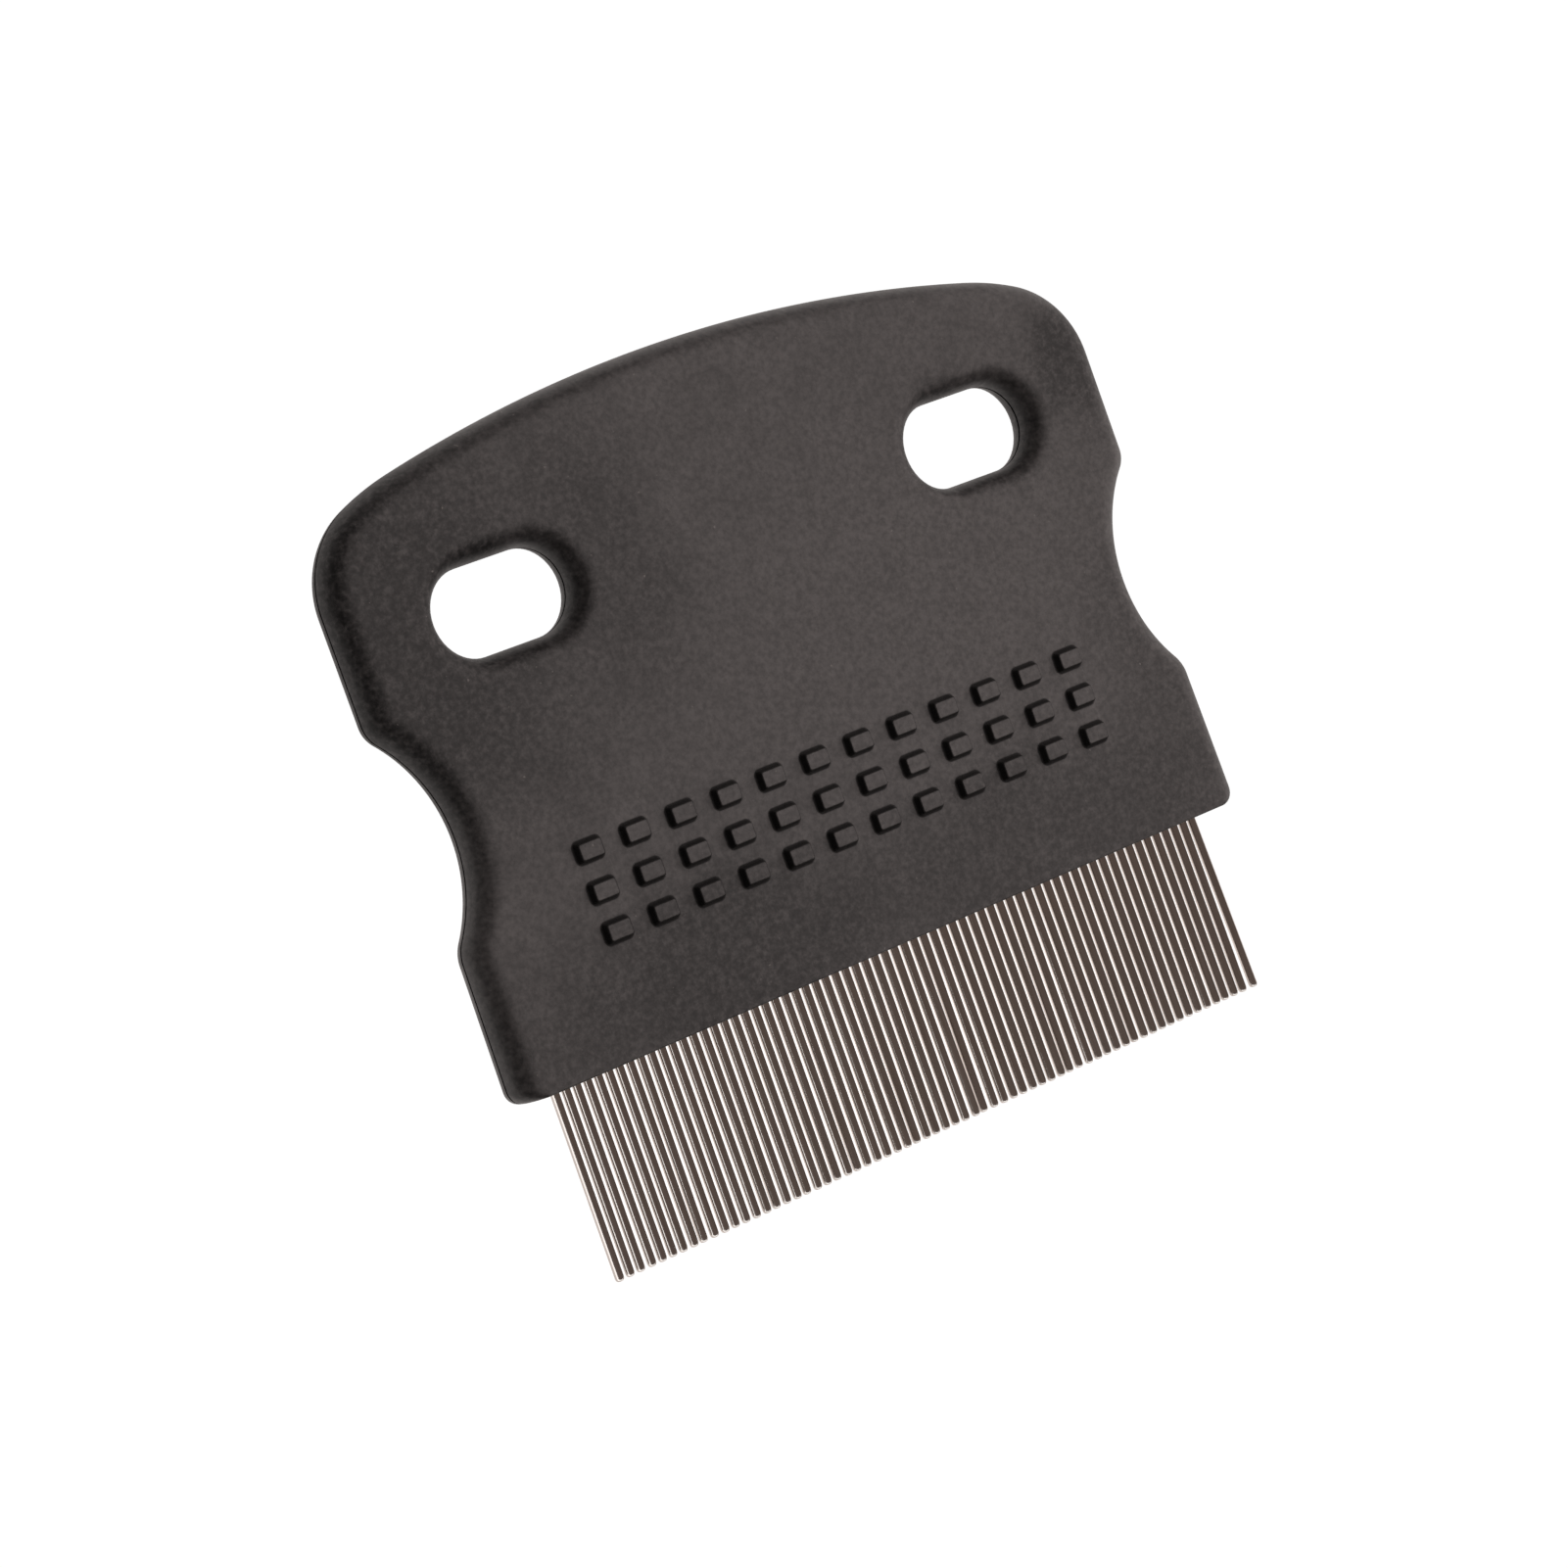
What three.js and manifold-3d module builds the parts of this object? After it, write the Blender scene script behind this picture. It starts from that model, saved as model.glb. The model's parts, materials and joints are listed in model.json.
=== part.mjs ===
// A flea comb: a flat moulded handle in two halves, with a close row of steel wire teeth held between them.
// The comb lies on its back. X runs across it, Y runs from the tooth tips to the top of the handle, and Z is
// up through its thickness. The origin is at the centre of the footprint, on the plane of the flat back.
// Lengths are millimetres.
import * as THREE from "three";
import { mergeVertices } from "three/addons/utils/BufferGeometryUtils.js";
import Module from "manifold-3d";

const wasm = await Module();
wasm.setup();

// ---- driving dimensions ----
const OVERALL_HEIGHT = 61.6; // tooth tips to the top of the handle
const TOOTH_OUT = 14.25; // free length of a tooth
const THICKNESS = 4.2; // of the handle, without the grip bumps
const SEAM_HEIGHT = 0.12; // the shallow groove all round the rim, where the two halves meet
const SEAM_DEPTH = 0.2;

// the handle's outline, seen from the front; half widths are measured from the centre line
const EAR_HALF = 34.3; // the wide part that carries the slots
const SKIRT_HALF_TOP = 33.25; // the part below the finger notches, at its top
const SKIRT_HALF_BOTTOM = 33.45; // and at the bottom edge
const WAIST_HALF = 30.5; // between the deepest points of the notches
const NOTCH_RADIUS = 11.6;
const NOTCH_ABOVE_BOTTOM = 18.95; // height of a notch's centre over the bottom edge
const EAR_RADIUS = 2.3; // where an ear turns into its notch
const SKIRT_RADIUS = 3.0; // where a notch turns into the skirt
const CORNER_RADIUS = 7.3; // the upper corners
const SHOULDER_RADIUS = 21.5; // between an upper corner and the top arc
const SHOULDER_TURN = 0.207; // the angle that the shoulder turns through, in radians
const TOP_RADIUS = 117;
const BOTTOM_CORNER_RADIUS = 1.2;
const OUTLINE_SAG = 0.03; // how far a facet may stand off the true curve
const INSIDE_SAG = 0.1; // the same for the walls inside

// the rounded rim
const RIM_RADIUS = THICKNESS / 2; // the outer edge is a full round
const RIM_STEPS = 4;

// the two hanging slots
const SLOT_LENGTH = 11.0;
const SLOT_WIDTH = 6.55;
const SLOT_X = 21.0;
const SLOT_ABOVE_BOTTOM = 33.42;
const SLOT_ROUND = 1.8; // how far the slot's rounded rim reaches over each face
const SLOT_FACETS = 24; // round a full circle

// the grip field on the front
const GRIP_COLUMNS = 12;
const GRIP_ROWS = 3;
const GRIP_PITCH_X = 4.0;
const GRIP_PITCH_Y = 3.0;
const GRIP_ABOVE_BOTTOM = 11.95; // the middle row over the bottom edge
const GRIP_HEIGHT = 0.6;
const GRIP_DRAFT = 0.33; // how far a bump's side leans in over its height
const GRIP_TOP = [1.74, 1.06]; // a bump's flat top
const GRIP_CORNER = 0.12; // the corner radius of that top

// inside the handle
const FACE_WALL = 1.2;
const SIDE_WALL = 2.6;
const SLOT_WALL = 2.4;
const RIB = 1.0;
const RIB_X = [-12, 12];
const RIB_ABOVE_BOTTOM = 24.0;
const PEG_RADIUS = 0.9;
const BOSS_RADIUS = 1.9;
const PEG_PLAY = 0.1;
const PEG_FACETS = 12;
const PEGS = [[-24, 14.5], [24, 14.5], [-6, 19], [6, 19], [-6, 40], [6, 40]]; // x, height over the bottom

// the teeth
const TEETH = 66;
const TOOTH_PITCH = 0.917;
const WIRE_RADIUS = 0.34;
const WIRE_FACETS = 8;
const BEND_STEPS = 4;
const BAR_HEIGHT = 6.0; // of the grooved bar, along the teeth
const BAR_OVERHANG = 1.0; // past the outer teeth
const BAR_FOOT = 2.2; // the bar's lower edge over the handle's bottom edge
const SIDE_PLAY = 0.03; // between a wire and the sides of its groove
const FIT_PLAY = 0.05; // round the bar's ends and edges, and round the teeth in the slit

// ---- derived places ----
const TIP_Y = -OVERALL_HEIGHT / 2;
const TOP_Y = OVERALL_HEIGHT / 2;
const BOTTOM_Y = TIP_Y + TOOTH_OUT;
const PARTING_Z = THICKNESS / 2;
const BACK_INNER_Z = FACE_WALL;
const FRONT_INNER_Z = THICKNESS - FACE_WALL;
const NOTCH_X = WAIST_HALF + NOTCH_RADIUS;
const NOTCH_Y = BOTTOM_Y + NOTCH_ABOVE_BOTTOM;
const SLOT_Y = BOTTOM_Y + SLOT_ABOVE_BOTTOM;
const GRIP_Y = BOTTOM_Y + GRIP_ABOVE_BOTTOM;
const ROW_HALF = ((TEETH - 1) * TOOTH_PITCH) / 2; // centre line to the axis of the outer tooth
const BAR_BOTTOM_Y = BOTTOM_Y + BAR_FOOT;
const BAR_TOP_Y = BAR_BOTTOM_Y + BAR_HEIGHT;
const BEND_Y = BAR_TOP_Y + FIT_PLAY + WIRE_RADIUS - TOOTH_PITCH / 2; // centre of each hairpin's bend
const POCKET_TOP_Y = BEND_Y + TOOTH_PITCH / 2 + WIRE_RADIUS + FIT_PLAY;
const WIRE_FLAT = WIRE_RADIUS * Math.cos(Math.PI / WIRE_FACETS); // from a wire's axis to its flats
const TOOTH_Z = PARTING_Z - WIRE_FLAT; // the wires lie in the back half, level with the parting plane
const BEYOND = 10; // how far a cutting block runs past what it cuts

// ---- materials ----
const plastic = new THREE.MeshStandardMaterial({ color: 0x2c2a29, roughness: 0.62, metalness: 0 });
const innerPlastic = new THREE.MeshStandardMaterial({ color: 0x1d1c1c, roughness: 0.6, metalness: 0 });
const steel = new THREE.MeshStandardMaterial({ color: 0xb9b5ae, roughness: 0.25, metalness: 1 });

// ---- solids ----
// A closed three.js geometry as a solid that can be joined and cut.
function solid(geometry) {
  const bare = geometry.clone();
  bare.deleteAttribute("normal");
  bare.deleteAttribute("uv");
  const merged = mergeVertices(bare, 1e-4);
  return new wasm.Manifold(
    new wasm.Mesh({
      numProp: 3,
      vertProperties: merged.attributes.position.array,
      triVerts: new Uint32Array(merged.index.array),
    }),
  );
}

function meshOf(name, body, material) {
  const made = body.getMesh();
  const geometry = new THREE.BufferGeometry();
  geometry.setAttribute("position", new THREE.BufferAttribute(new Float32Array(made.vertProperties), 3));
  geometry.setIndex(new THREE.BufferAttribute(new Uint32Array(made.triVerts), 1));
  geometry.computeVertexNormals();
  const mesh = new THREE.Mesh(geometry, material);
  mesh.name = name;
  return mesh;
}

// A box given by its lowest and highest corners.
function block(low, high) {
  const size = high.map((h, i) => h - low[i]);
  const centre = high.map((h, i) => (h + low[i]) / 2);
  return solid(new THREE.BoxGeometry(...size).translate(...centre));
}

function uprightCylinder(x, y, radius, z0, z1) {
  const tall = new THREE.CylinderGeometry(radius, radius, z1 - z0, PEG_FACETS);
  return solid(tall.rotateX(Math.PI / 2).translate(x, y, (z0 + z1) / 2));
}

function prism(shape, z0, z1) {
  const made = new THREE.ExtrudeGeometry(shape, { depth: z1 - z0, bevelEnabled: false, curveSegments: 6 });
  return solid(made.translate(0, 0, z0));
}

const joined = (list) => list.reduce((a, b) => a.add(b));

// ---- outlines ----
// Points along a row of arcs, each [centre x, centre y, radius, start angle, end angle, full radius]. A facet
// stands off the full radius by no more than sag.
function arcPoints(arcs, sag) {
  const points = [];
  for (const [x, y, radius, from, to, fullRadius] of arcs) {
    const steps = Math.ceil(Math.abs(to - from) * Math.sqrt(fullRadius / (8 * sag)));
    for (let i = 0; i <= steps; i++) {
      const angle = from + ((to - from) * i) / steps;
      const point = new THREE.Vector2(x + radius * Math.cos(angle), y + radius * Math.sin(angle));
      const last = points.at(-1);
      if (!last || last.distanceTo(point) > 1e-4) points.push(point);
    }
  }
  return points;
}

// The handle's outline moved in by inset. Its sides run straight on to bottomY.
function handleOutline(inset, bottomY, sag) {
  const ear = EAR_HALF - inset;
  const skirt = SKIRT_HALF_TOP - inset;
  const notch = NOTCH_RADIUS + inset;
  const earRound = Math.max(EAR_RADIUS - inset, 0.05);
  const skirtRound = Math.max(SKIRT_RADIUS - inset, 0.05);
  const corner = CORNER_RADIUS - inset;
  const shoulder = SHOULDER_RADIUS - inset;
  const top = TOP_RADIUS - inset;
  const topCentreY = TOP_Y - TOP_RADIUS;

  // the rounds where the notch meets the straight sides touch both from inside the handle
  const skirtX = skirt - skirtRound;
  const skirtY = NOTCH_Y - Math.sqrt((notch + skirtRound) ** 2 - (NOTCH_X - skirtX) ** 2);
  const skirtTurn = Math.atan2(NOTCH_Y - skirtY, NOTCH_X - skirtX);
  const earX = ear - earRound;
  const earY = NOTCH_Y + Math.sqrt((notch + earRound) ** 2 - (NOTCH_X - earX) ** 2);
  const earTurn = Math.atan2(earY - NOTCH_Y, NOTCH_X - earX);

  // the corner's turn is found by halving, so that corner, shoulder and top arc run into one another
  const gap = (turn) =>
    ear - corner - (shoulder - corner) * Math.cos(turn) - (top - shoulder) * Math.cos(turn + SHOULDER_TURN);
  let cornerTurn = 0;
  for (let step = 1; step > 1e-9; step /= 2) {
    if (gap(cornerTurn + step) < 0) cornerTurn += step;
  }
  const shoulderEnd = cornerTurn + SHOULDER_TURN;
  const shoulderX = (top - shoulder) * Math.cos(shoulderEnd);
  const shoulderY = topCentreY + (top - shoulder) * Math.sin(shoulderEnd);
  const cornerX = shoulderX + (shoulder - corner) * Math.cos(cornerTurn);
  const cornerY = shoulderY + (shoulder - corner) * Math.sin(cornerTurn);

  const right = arcPoints(
    [
      [skirtX, skirtY, skirtRound, 0, skirtTurn, SKIRT_RADIUS],
      [NOTCH_X, NOTCH_Y, notch, Math.PI + skirtTurn, Math.PI - earTurn, NOTCH_RADIUS],
      [earX, earY, earRound, -earTurn, 0, EAR_RADIUS],
      [cornerX, cornerY, corner, 0, cornerTurn, CORNER_RADIUS],
      [shoulderX, shoulderY, shoulder, cornerTurn, shoulderEnd, SHOULDER_RADIUS],
      [0, topCentreY, top, shoulderEnd, Math.PI / 2, TOP_RADIUS],
    ],
    sag,
  );
  right.unshift(new THREE.Vector2(SKIRT_HALF_BOTTOM - inset, bottomY));
  const left = right.slice(0, -1).reverse().map((p) => new THREE.Vector2(-p.x, p.y));
  return new THREE.Shape([...right, ...left]);
}

// A slot's outline moved out by outset, about the slot's own centre.
function slotOutline(outset) {
  const half = (SLOT_LENGTH - SLOT_WIDTH) / 2;
  const radius = SLOT_WIDTH / 2 + outset;
  const shape = new THREE.Shape();
  shape.absarc(half, 0, radius, -Math.PI / 2, Math.PI / 2, false);
  shape.absarc(-half, 0, radius, Math.PI / 2, (3 * Math.PI) / 2, false);
  return shape;
}

function slotPrism(x, outset, z0, z1) {
  return prism(slotOutline(outset), z0, z1).translate([x, SLOT_Y, 0]);
}

// ---- the handle's body, before it is parted ----
// The full plate with its round rim. It runs on below the bottom edge and is cut off flat there.
function plate() {
  const straight = 0.02; // of the rim at its widest
  const made = new THREE.ExtrudeGeometry(handleOutline(RIM_RADIUS, BOTTOM_Y - BEYOND, OUTLINE_SAG), {
    depth: straight,
    bevelEnabled: true,
    bevelThickness: (THICKNESS - straight) / 2,
    bevelSize: RIM_RADIUS,
    bevelSegments: RIM_STEPS,
  });
  return solid(made.translate(0, 0, (THICKNESS - straight) / 2));
}

// What is kept at the bottom: all above the bottom edge, but for the two rounded corners.
function bottomTrim() {
  const side = SKIRT_HALF_BOTTOM;
  const round = BOTTOM_CORNER_RADIUS;
  const shape = new THREE.Shape();
  shape.absarc(side - round, BOTTOM_Y + round, round, -Math.PI / 2, 0, false);
  shape.lineTo(side + BEYOND, BOTTOM_Y + round);
  shape.lineTo(side + BEYOND, TOP_Y + BEYOND);
  shape.lineTo(-side - BEYOND, TOP_Y + BEYOND);
  shape.lineTo(-side - BEYOND, BOTTOM_Y + round);
  shape.absarc(round - side, BOTTOM_Y + round, round, Math.PI, 1.5 * Math.PI, false);
  return prism(shape, -BEYOND, THICKNESS + BEYOND);
}

// A slot as a cutter: narrow at the parting plane, and opening out over both faces by a quarter ellipse.
function slotCutter(x) {
  const rim = [];
  for (let i = -RIM_STEPS; i <= RIM_STEPS; i++) {
    const angle = (i / RIM_STEPS) * (Math.PI / 2);
    const radius = SLOT_WIDTH / 2 + SLOT_ROUND * (1 - Math.cos(angle));
    rim.push(new THREE.Vector2(radius, PARTING_Z + PARTING_Z * Math.sin(angle)));
  }
  const widest = SLOT_WIDTH / 2 + SLOT_ROUND;
  const half = (SLOT_LENGTH - SLOT_WIDTH) / 2;
  const column = [
    new THREE.Vector2(0, -BEYOND),
    new THREE.Vector2(widest, -BEYOND),
    ...rim,
    new THREE.Vector2(widest, THICKNESS + BEYOND),
    new THREE.Vector2(0, THICKNESS + BEYOND),
  ];
  const end = new THREE.LatheGeometry(column, SLOT_FACETS).rotateX(Math.PI / 2);
  const section = new THREE.Shape([
    ...column.slice(1, -1),
    ...column.slice(1, -1).reverse().map((p) => new THREE.Vector2(-p.x, p.y)),
  ]);
  const middle = new THREE.ExtrudeGeometry(section, { depth: 2 * half, bevelEnabled: false });
  middle.translate(0, 0, -half).rotateX(Math.PI / 2).rotateZ(Math.PI / 2);
  const cutter = joined([
    solid(end).translate([-half, 0, 0]),
    solid(end).translate([half, 0, 0]),
    solid(middle),
  ]);
  return cutter.translate([x, SLOT_Y, 0]);
}

const slots = joined([slotCutter(-SLOT_X), slotCutter(SLOT_X)]);
const handle = plate().intersect(bottomTrim()).subtract(slots);

// ---- the inside of a shell, between z0 and z1 ----
// The hollow over the tooth pocket, less the walls round the slots and the stiffening ribs.
function hollow(z0, z1) {
  const bottom = POCKET_TOP_Y + RIB;
  const space = prism(handleOutline(SIDE_WALL, BOTTOM_Y, INSIDE_SAG), z0, z1).intersect(
    block([-EAR_HALF, bottom, z0 - 1], [EAR_HALF, TOP_Y, z1 + 1]),
  );
  const rings = [-SLOT_X, SLOT_X].map((x) => slotPrism(x, SLOT_WALL, z0 - 1, z1 + 1));
  const uprights = RIB_X.map((x) => block([x - RIB / 2, BOTTOM_Y, z0 - 1], [x + RIB / 2, TOP_Y, z1 + 1]));
  const ribY = BOTTOM_Y + RIB_ABOVE_BOTTOM;
  const cross = block([-EAR_HALF, ribY - RIB / 2, z0 - 1], [EAR_HALF, ribY + RIB / 2, z1 + 1]);
  return space.subtract(joined([...rings, ...uprights, cross]));
}

// The pocket in the back half for the grooved bar and the wires' bends.
function toothPocket() {
  const half = ROW_HALF + BAR_OVERHANG + FIT_PLAY;
  return block([-half, BAR_BOTTOM_Y - FIT_PLAY, BACK_INNER_Z], [half, POCKET_TOP_Y, PARTING_Z + 1]);
}

// The slit that the teeth come out of. The front half closes it.
function exitSlit() {
  const half = ROW_HALF + WIRE_RADIUS + FIT_PLAY;
  const floor = TOOTH_Z - WIRE_RADIUS - FIT_PLAY;
  return block([-half, BOTTOM_Y - 1, floor], [half, BAR_BOTTOM_Y + 1, PARTING_Z + 1]);
}

// The groove round the outside and round both slots, on the front half's side of the parting plane.
function seam() {
  const z0 = PARTING_Z - 1;
  const z1 = PARTING_Z + SEAM_HEIGHT;
  const slab = block([-EAR_HALF - 1, BOTTOM_Y - 1, z0], [EAR_HALF + 1, TOP_Y + 1, z1]);
  const core = prism(handleOutline(SEAM_DEPTH, BOTTOM_Y - BEYOND, OUTLINE_SAG), z0 - 1, z1 + 1);
  const mouths = [-SLOT_X, SLOT_X].map((x) => slotPrism(x, SEAM_DEPTH, z0, z1));
  return joined([slab.subtract(core), ...mouths]);
}

function backShell() {
  const kept = block([-EAR_HALF - 1, TIP_Y, -1], [EAR_HALF + 1, TOP_Y + 1, PARTING_Z]);
  const pegs = PEGS.map(([x, up]) =>
    uprightCylinder(x, BOTTOM_Y + up, PEG_RADIUS, BACK_INNER_Z - 0.3, FRONT_INNER_Z - PEG_PLAY),
  );
  return handle
    .intersect(kept)
    .subtract(hollow(BACK_INNER_Z, PARTING_Z + 1))
    .subtract(toothPocket())
    .subtract(exitSlit())
    .add(joined(pegs));
}

// One raised grip bump: a rounded rectangle whose sides lean in. Its lower half is buried in the face.
function gripBump(x, y) {
  const [w, h] = GRIP_TOP.map((side) => side / 2);
  const r = GRIP_CORNER;
  const shape = new THREE.Shape();
  shape.absarc(w - r, h - r, r, 0, Math.PI / 2, false);
  shape.absarc(r - w, h - r, r, Math.PI / 2, Math.PI, false);
  shape.absarc(r - w, r - h, r, Math.PI, 1.5 * Math.PI, false);
  shape.absarc(w - r, r - h, r, 1.5 * Math.PI, 2 * Math.PI, false);
  const buried = 0.1;
  const made = new THREE.ExtrudeGeometry(shape, {
    depth: buried,
    bevelEnabled: true,
    bevelThickness: GRIP_HEIGHT,
    bevelSize: GRIP_DRAFT,
    bevelSegments: 1,
    curveSegments: 1,
  });
  return solid(made.translate(x, y, THICKNESS - buried));
}

function frontShell() {
  const kept = block([-EAR_HALF - 1, TIP_Y, PARTING_Z], [EAR_HALF + 1, TOP_Y + 1, THICKNESS + 1]);
  const bosses = PEGS.map(([x, up]) =>
    uprightCylinder(x, BOTTOM_Y + up, BOSS_RADIUS, PARTING_Z, FRONT_INNER_Z + 0.3),
  );
  const sockets = PEGS.map(([x, up]) =>
    uprightCylinder(x, BOTTOM_Y + up, PEG_RADIUS + PEG_PLAY, PARTING_Z - 1, FRONT_INNER_Z),
  );
  const bumps = [];
  for (let column = 0; column < GRIP_COLUMNS; column++) {
    for (let row = 0; row < GRIP_ROWS; row++) {
      const x = (column - (GRIP_COLUMNS - 1) / 2) * GRIP_PITCH_X;
      const y = GRIP_Y + (row - (GRIP_ROWS - 1) / 2) * GRIP_PITCH_Y;
      bumps.push(gripBump(x, y));
    }
  }
  // below its hollow this half is solid, and presses the wires into their grooves
  return handle
    .intersect(kept)
    .subtract(hollow(PARTING_Z - 1, FRONT_INNER_Z))
    .subtract(seam())
    .add(joined(bosses))
    .subtract(joined(sockets))
    .add(joined(bumps));
}

// ---- the teeth and what holds them ----
const toothX = (i) => (i - (TEETH - 1) / 2) * TOOTH_PITCH;

// A hairpin of wire: up one leg, round the bend and down the other. Each leg is one step of the sweep.
class HairpinPath extends THREE.Curve {
  constructor(leftX) {
    super();
    this.leftX = leftX;
  }

  getUtoTmapping(u) {
    return u;
  }

  // the angle round the bend, from pi at the left leg to 0 at the right one
  bendAngle(t) {
    const steps = BEND_STEPS + 2;
    const share = (t * steps - 1) / BEND_STEPS;
    return Math.PI * (1 - THREE.MathUtils.clamp(share, 0, 1));
  }

  getPoint(t, target = new THREE.Vector3()) {
    const steps = BEND_STEPS + 2;
    const angle = this.bendAngle(t);
    const radius = TOOTH_PITCH / 2;
    const middle = this.leftX + radius;
    const leg = BEND_Y - TIP_Y;
    const below = Math.max(1 - t * steps, t * steps - (steps - 1), 0) * leg;
    const y = BEND_Y + radius * Math.sin(angle) - below;
    return target.set(middle + radius * Math.cos(angle), y, TOOTH_Z);
  }

  getTangent(t, target = new THREE.Vector3()) {
    const angle = this.bendAngle(t);
    return target.set(Math.sin(angle), -Math.cos(angle), 0);
  }
}

function toothPair(leftX) {
  const section = [];
  for (let i = 0; i < WIRE_FACETS; i++) {
    const angle = ((i + 0.5) / WIRE_FACETS) * 2 * Math.PI;
    section.push(new THREE.Vector2(WIRE_RADIUS * Math.cos(angle), WIRE_RADIUS * Math.sin(angle)));
  }
  const wire = new THREE.ExtrudeGeometry(new THREE.Shape(section), {
    steps: BEND_STEPS + 2,
    bevelEnabled: false,
    extrudePath: new HairpinPath(leftX),
  });
  return solid(wire);
}

// The bar that spaces the wires. Each leg lies in a groove that is open to the front, and each hairpin's bend
// hooks over the fin between its two grooves.
function groovedBar() {
  const half = ROW_HALF + BAR_OVERHANG;
  const bar = block([-half, BAR_BOTTOM_Y, BACK_INNER_Z], [half, BAR_TOP_Y, PARTING_Z]);
  const reach = WIRE_RADIUS + SIDE_PLAY;
  const grooves = [];
  for (let i = 0; i < TEETH; i++) {
    const low = [toothX(i) - reach, BAR_BOTTOM_Y - 1, TOOTH_Z - WIRE_FLAT];
    const high = [toothX(i) + reach, BAR_TOP_Y + 1, PARTING_Z + 1];
    grooves.push(block(low, high));
  }
  return bar.subtract(joined(grooves));
}

// ---- the comb ----
const comb = new THREE.Group();
comb.name = "flea_comb";
comb.add(meshOf("front_shell", frontShell(), plastic));
comb.add(meshOf("back_shell", backShell(), plastic));
comb.add(meshOf("tooth_bar", groovedBar(), innerPlastic));
for (let pair = 0; pair < TEETH / 2; pair++) {
  const name = "tooth_pair_" + String(pair + 1).padStart(2, "0");
  comb.add(meshOf(name, toothPair(toothX(2 * pair)), steel));
}

export default comb;
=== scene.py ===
"""The looks of the flea comb: a moulded handle in two halves and a row of 66 steel teeth, on white."""
import json
import math
import random

import bpy
import numpy as np
from mathutils import Matrix, Vector
from mathutils.geometry import delaunay_2d_cdt

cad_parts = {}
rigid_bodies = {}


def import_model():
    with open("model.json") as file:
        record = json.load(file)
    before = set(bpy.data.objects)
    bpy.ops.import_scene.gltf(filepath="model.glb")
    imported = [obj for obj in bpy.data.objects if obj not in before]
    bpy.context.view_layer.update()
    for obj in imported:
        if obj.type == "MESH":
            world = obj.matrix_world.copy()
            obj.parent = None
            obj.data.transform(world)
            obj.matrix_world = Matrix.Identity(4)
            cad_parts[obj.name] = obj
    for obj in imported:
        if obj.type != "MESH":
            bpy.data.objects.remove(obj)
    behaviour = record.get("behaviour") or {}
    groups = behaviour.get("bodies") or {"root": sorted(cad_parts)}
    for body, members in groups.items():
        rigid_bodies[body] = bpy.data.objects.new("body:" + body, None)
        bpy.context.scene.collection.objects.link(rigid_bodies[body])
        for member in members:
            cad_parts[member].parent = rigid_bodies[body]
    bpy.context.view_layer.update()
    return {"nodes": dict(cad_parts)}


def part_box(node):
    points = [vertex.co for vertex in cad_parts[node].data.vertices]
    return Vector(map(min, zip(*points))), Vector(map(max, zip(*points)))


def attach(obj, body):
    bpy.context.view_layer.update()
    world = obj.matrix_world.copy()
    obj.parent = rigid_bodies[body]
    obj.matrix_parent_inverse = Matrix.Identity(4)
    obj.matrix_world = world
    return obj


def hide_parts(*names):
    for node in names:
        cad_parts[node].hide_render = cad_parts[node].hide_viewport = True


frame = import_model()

MM = 0.001

# ---- places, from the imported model, in millimetres ----
FRONT_LOW, FRONT_HIGH = (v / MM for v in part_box("front_shell"))
BACK_LOW, BACK_HIGH = (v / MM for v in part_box("back_shell"))
TOOTH_LOW, TOOTH_HIGH = (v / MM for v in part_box("tooth_pair_01"))
LAST_LOW, LAST_HIGH = (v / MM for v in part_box("tooth_pair_33"))
BOTTOM_Y = BACK_LOW.y
TOP_Y = BACK_HIGH.y
PARTING_Z = FRONT_LOW.z
THICKNESS = 2 * PARTING_Z
GRIP_HEIGHT = FRONT_HIGH.z - THICKNESS
TIP_Y = TOOTH_LOW.y

# ---- the handle's outline, as in the CAD model ----
EAR_HALF = 34.3
SKIRT_HALF_TOP = 33.25
SKIRT_HALF_BOTTOM = 33.45
WAIST_HALF = 30.5
NOTCH_RADIUS = 11.6
NOTCH_Y = BOTTOM_Y + 18.95
NOTCH_X = WAIST_HALF + NOTCH_RADIUS
EAR_RADIUS = 2.3
SKIRT_RADIUS = 3.0
CORNER_RADIUS = 7.3
SHOULDER_RADIUS = 21.5
SHOULDER_TURN = 0.207
TOP_RADIUS = 117
FOOT_CORNER = 1.2  # plan radius of the bottom corners at the parting plane
FOOT_CORNER_FACE = 0.45  # and at the face
FOOT_EDGE = 0.12  # rounding of the face's bottom edge
RIM = PARTING_Z  # radius of the full round rim
RIM_STEPS = 16
SEAM_HEIGHT = 0.14  # of the parting groove, on the front half's side
SEAM_DEPTH = 0.4
SEAM_EDGE = 0.03  # its rounded outer edge
SEAM_CORNER = 0.02  # and its inner corner

# ---- slots ----
SLOT_LENGTH = 11.12
SLOT_WIDTH = 6.55
SLOT_SPREAD = 21.0  # of the slots' centres, from the middle
SLOT_SHIFT = -0.06
SLOTS_X = (SLOT_SHIFT - SLOT_SPREAD, SLOT_SHIFT + SLOT_SPREAD)
SLOT_Y = BOTTOM_Y + 33.42
SLOT_ROUND = 1.8  # how far the rim's rounding reaches out from the slot

# ---- grip bumps ----
GRIP_COLUMNS = 12
GRIP_ROWS = 3
GRIP_PITCH = (4.0, 3.0)
GRIP_Y = BOTTOM_Y + 11.95
GRIP_TOP = (0.87, 0.53)  # half sizes of a bump's flat top
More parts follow.
